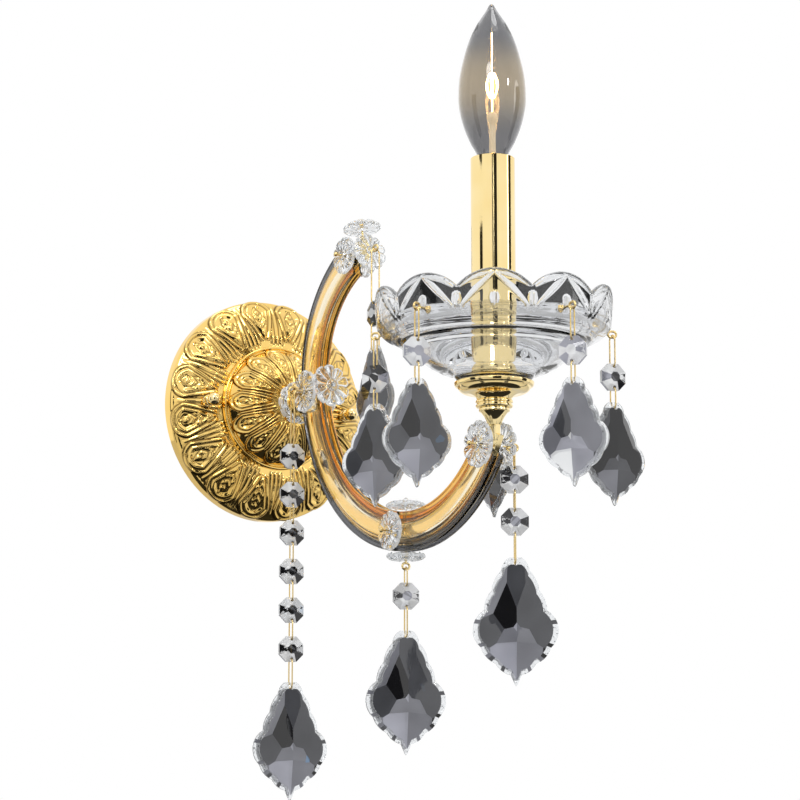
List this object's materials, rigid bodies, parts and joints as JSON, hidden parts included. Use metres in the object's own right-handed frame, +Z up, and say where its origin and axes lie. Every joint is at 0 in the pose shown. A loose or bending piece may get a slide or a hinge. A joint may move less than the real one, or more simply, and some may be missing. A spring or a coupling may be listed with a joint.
{
  "type": "wall sconce",
  "caption": "Crystal wall sconce: round gold back plate, glass-covered scroll arm, candle lamp over a scalloped glass bowl, hung with faceted beads and pendalogues.",
  "frame": {"origin": "middle of the wall bar's face that lies on the wall", "axes": "+Z up, -Y out of the wall into the room, +X to the right as seen from the room"},
  "size_m": [0.1568, 0.3079, 0.4056],
  "materials": {
    "wall_steel": "zinc plated",
    "plate_gold": "polished gold plate",
    "arm_gold": "polished gold plate",
    "pin_gold": "bright gold wire",
    "cover_glass": "clear moulded",
    "rosette_glass": "clear moulded",
    "bowl_glass": "clear cut",
    "bead_crystal": "clear cut and polished",
    "drop_crystal": "clear cut and polished",
    "lamp_clear": "clear",
    "lamp_filament": "lit filament on its stem",
    "socket_plastic": "matt",
    "contact_brass": "plain"
  },
  "bodies": {
    "sconce": {"wall_bar": "wall_steel", "plate_studs": "wall_steel", "backplate_outer": "plate_gold", "backplate_dome": "plate_gold", "centre_nipple": "wall_steel", "tube_nuts": "wall_steel", "arm_boss": "plate_gold", "arm_strip": "arm_gold", "arm_covers_upper": "cover_glass", "arm_covers_lower": "cover_glass", "arm_covers_front": "cover_glass", "rosettes_top": "rosette_glass", "rosettes_middle": "rosette_glass", "rosettes_bottom": "rosette_glass", "rosettes_end": "rosette_glass", "rosettes_top_end": "rosette_glass", "rosette_bottom_under": "rosette_glass", "rosette_wall": "rosette_glass", "rosette_pins": "pin_gold", "cup_cone": "arm_gold", "candle_cup": "arm_gold", "bowl": "bowl_glass", "rim_pins": "pin_gold", "candle_stem": "wall_steel", "bowl_washer": "wall_steel", "socket_insulator": "socket_plastic", "socket_contacts": "contact_brass", "candle_sleeve": "arm_gold"},
    "ball_nut_left": {"ball_nut_left": "plate_gold"},
    "ball_nut_right": {"ball_nut_right": "plate_gold"},
    "lamp": {"lamp_base": "contact_brass", "lamp_glass": "lamp_clear", "lamp_mount": "lamp_filament"},
    "front": {"front_wires": "pin_gold", "front_beads": "bead_crystal"},
    "front_crystal": {"front_pendalogue": "drop_crystal"},
    "front_left": {"front_left_wires": "pin_gold", "front_left_beads": "bead_crystal"},
    "front_left_crystal": {"front_left_pendalogue": "drop_crystal"},
    "front_right": {"front_right_wires": "pin_gold", "front_right_beads": "bead_crystal"},
    "front_right_crystal": {"front_right_pendalogue": "drop_crystal"},
    "back_left": {"back_left_wires": "pin_gold", "back_left_beads": "bead_crystal"},
    "back_left_crystal": {"back_left_pendalogue": "drop_crystal"},
    "back_right": {"back_right_wires": "pin_gold", "back_right_beads": "bead_crystal"},
    "back_right_crystal": {"back_right_pendalogue": "drop_crystal"},
    "top_drop": {"top_drop_wires": "pin_gold", "top_drop_beads": "bead_crystal"},
    "top_drop_crystal": {"top_drop_pendalogue": "drop_crystal"},
    "middle_chain": {"middle_chain_wires": "pin_gold", "middle_chain_beads": "bead_crystal"},
    "middle_chain_crystal": {"middle_chain_pendalogue": "drop_crystal"},
    "right_chain": {"right_chain_wires": "pin_gold", "right_chain_beads": "bead_crystal"},
    "right_chain_crystal": {"right_chain_pendalogue": "drop_crystal"},
    "wall_chain": {"wall_chain_wires": "pin_gold", "wall_chain_beads": "bead_crystal"},
    "wall_chain_crystal": {"wall_chain_pendalogue": "drop_crystal"}
  },
  "joints": [
    {"name": "ball_nut_left_turn", "type": "hinge", "parent": "sconce", "child": "ball_nut_left", "pos_m": [-0.046, -0.02, 0], "axis": [0, -1, 0], "continuous": true},
    {"name": "ball_nut_right_turn", "type": "hinge", "parent": "sconce", "child": "ball_nut_right", "pos_m": [0.046, -0.02, 0], "axis": [0, -1, 0], "continuous": true},
    {"name": "lamp_lift", "type": "slide", "parent": "sconce", "child": "lamp", "axis": [0, 0, 1], "range_m": [0, 0.045]},
    {"name": "front_swing", "type": "hinge", "parent": "sconce", "child": "front", "pos_m": [0, -0.2917, 0.0094], "axis": [0, -1, 0], "range_deg": [-12, 12]},
    {"name": "front_crystal_swing", "type": "hinge", "parent": "front", "child": "front_crystal", "pos_m": [0, -0.2917, -0.0273], "axis": [-0.866, -0.5, 0], "range_deg": [-12, 12]},
    {"name": "front_left_swing", "type": "hinge", "parent": "sconce", "child": "front_left", "pos_m": [-0.06058, -0.24768, 0.0094], "axis": [-0.9511, -0.309, 0], "range_deg": [-12, 12]},
    {"name": "front_left_crystal_swing", "type": "hinge", "parent": "front_left", "child": "front_left_crystal", "pos_m": [-0.06058, -0.24768, -0.0273], "axis": [-0.2079, -0.9781, 0], "range_deg": [-12, 12]},
    {"name": "front_right_swing", "type": "hinge", "parent": "sconce", "child": "front_right", "pos_m": [0.06058, -0.24768, 0.0094], "axis": [0.9511, -0.309, 0], "range_deg": [-12, 12]},
    {"name": "front_right_crystal_swing", "type": "hinge", "parent": "front_right", "child": "front_right_crystal", "pos_m": [0.06058, -0.24768, -0.0273], "axis": [-0.1392, -0.9903, 0], "range_deg": [-12, 12]},
    {"name": "back_left_swing", "type": "hinge", "parent": "sconce", "child": "back_left", "pos_m": [-0.03744, -0.17647, 0.0094], "axis": [-0.5878, 0.809, 0], "range_deg": [-12, 12]},
    {"name": "back_left_crystal_swing", "type": "hinge", "parent": "back_left", "child": "back_left_crystal", "pos_m": [-0.03744, -0.17647, -0.0273], "axis": [-0.809, -0.5878, 0], "range_deg": [-12, 12]},
    {"name": "back_right_swing", "type": "hinge", "parent": "sconce", "child": "back_right", "pos_m": [0.03744, -0.17647, 0.0094], "axis": [0.5878, 0.809, 0], "range_deg": [-12, 12]},
    {"name": "back_right_crystal_swing", "type": "hinge", "parent": "back_right", "child": "back_right_crystal", "pos_m": [0.03744, -0.17647, -0.0273], "axis": [-0.9945, 0.1045, 0], "range_deg": [-12, 12]},
    {"name": "top_drop_swing", "type": "hinge", "parent": "sconce", "child": "top_drop", "pos_m": [0, -0.11949, 0.07281], "axis": [0, 1, 0], "range_deg": [-12, 12]},
    {"name": "top_drop_crystal_swing", "type": "hinge", "parent": "top_drop", "child": "top_drop_crystal", "pos_m": [0, -0.11949, 0.01671], "axis": [-1, 0, 0], "range_deg": [-12, 12]},
    {"name": "middle_chain_swing", "type": "hinge", "parent": "sconce", "child": "middle_chain", "pos_m": [0, -0.149, -0.1045], "axis": [1, 0, 0], "range_deg": [-15, 15]},
    {"name": "middle_chain_crystal_swing", "type": "hinge", "parent": "middle_chain", "child": "middle_chain_crystal", "pos_m": [0, -0.149, -0.1396], "axis": [-0.309, -0.9511, 0], "range_deg": [-15, 15]},
    {"name": "right_chain_swing", "type": "hinge", "parent": "sconce", "child": "right_chain", "pos_m": [0.01505, -0.22414, -0.0501], "axis": [1, 0, 0], "range_deg": [-12, 12]},
    {"name": "right_chain_crystal_swing", "type": "hinge", "parent": "right_chain", "child": "right_chain_crystal", "pos_m": [0.01505, -0.22414, -0.1072], "axis": [-0.5, -0.866, 0], "range_deg": [-15, 15]},
    {"name": "wall_chain_swing", "type": "hinge", "parent": "sconce", "child": "wall_chain", "pos_m": [-0.01505, -0.05861, 0.0014], "axis": [1, 0, 0], "range_deg": [-20, 10]},
    {"name": "wall_chain_crystal_swing", "type": "hinge", "parent": "wall_chain", "child": "wall_chain_crystal", "pos_m": [-0.01505, -0.05861, -0.1627], "axis": [-0.1736, -0.9848, 0], "range_deg": [-15, 15]}
  ]
}
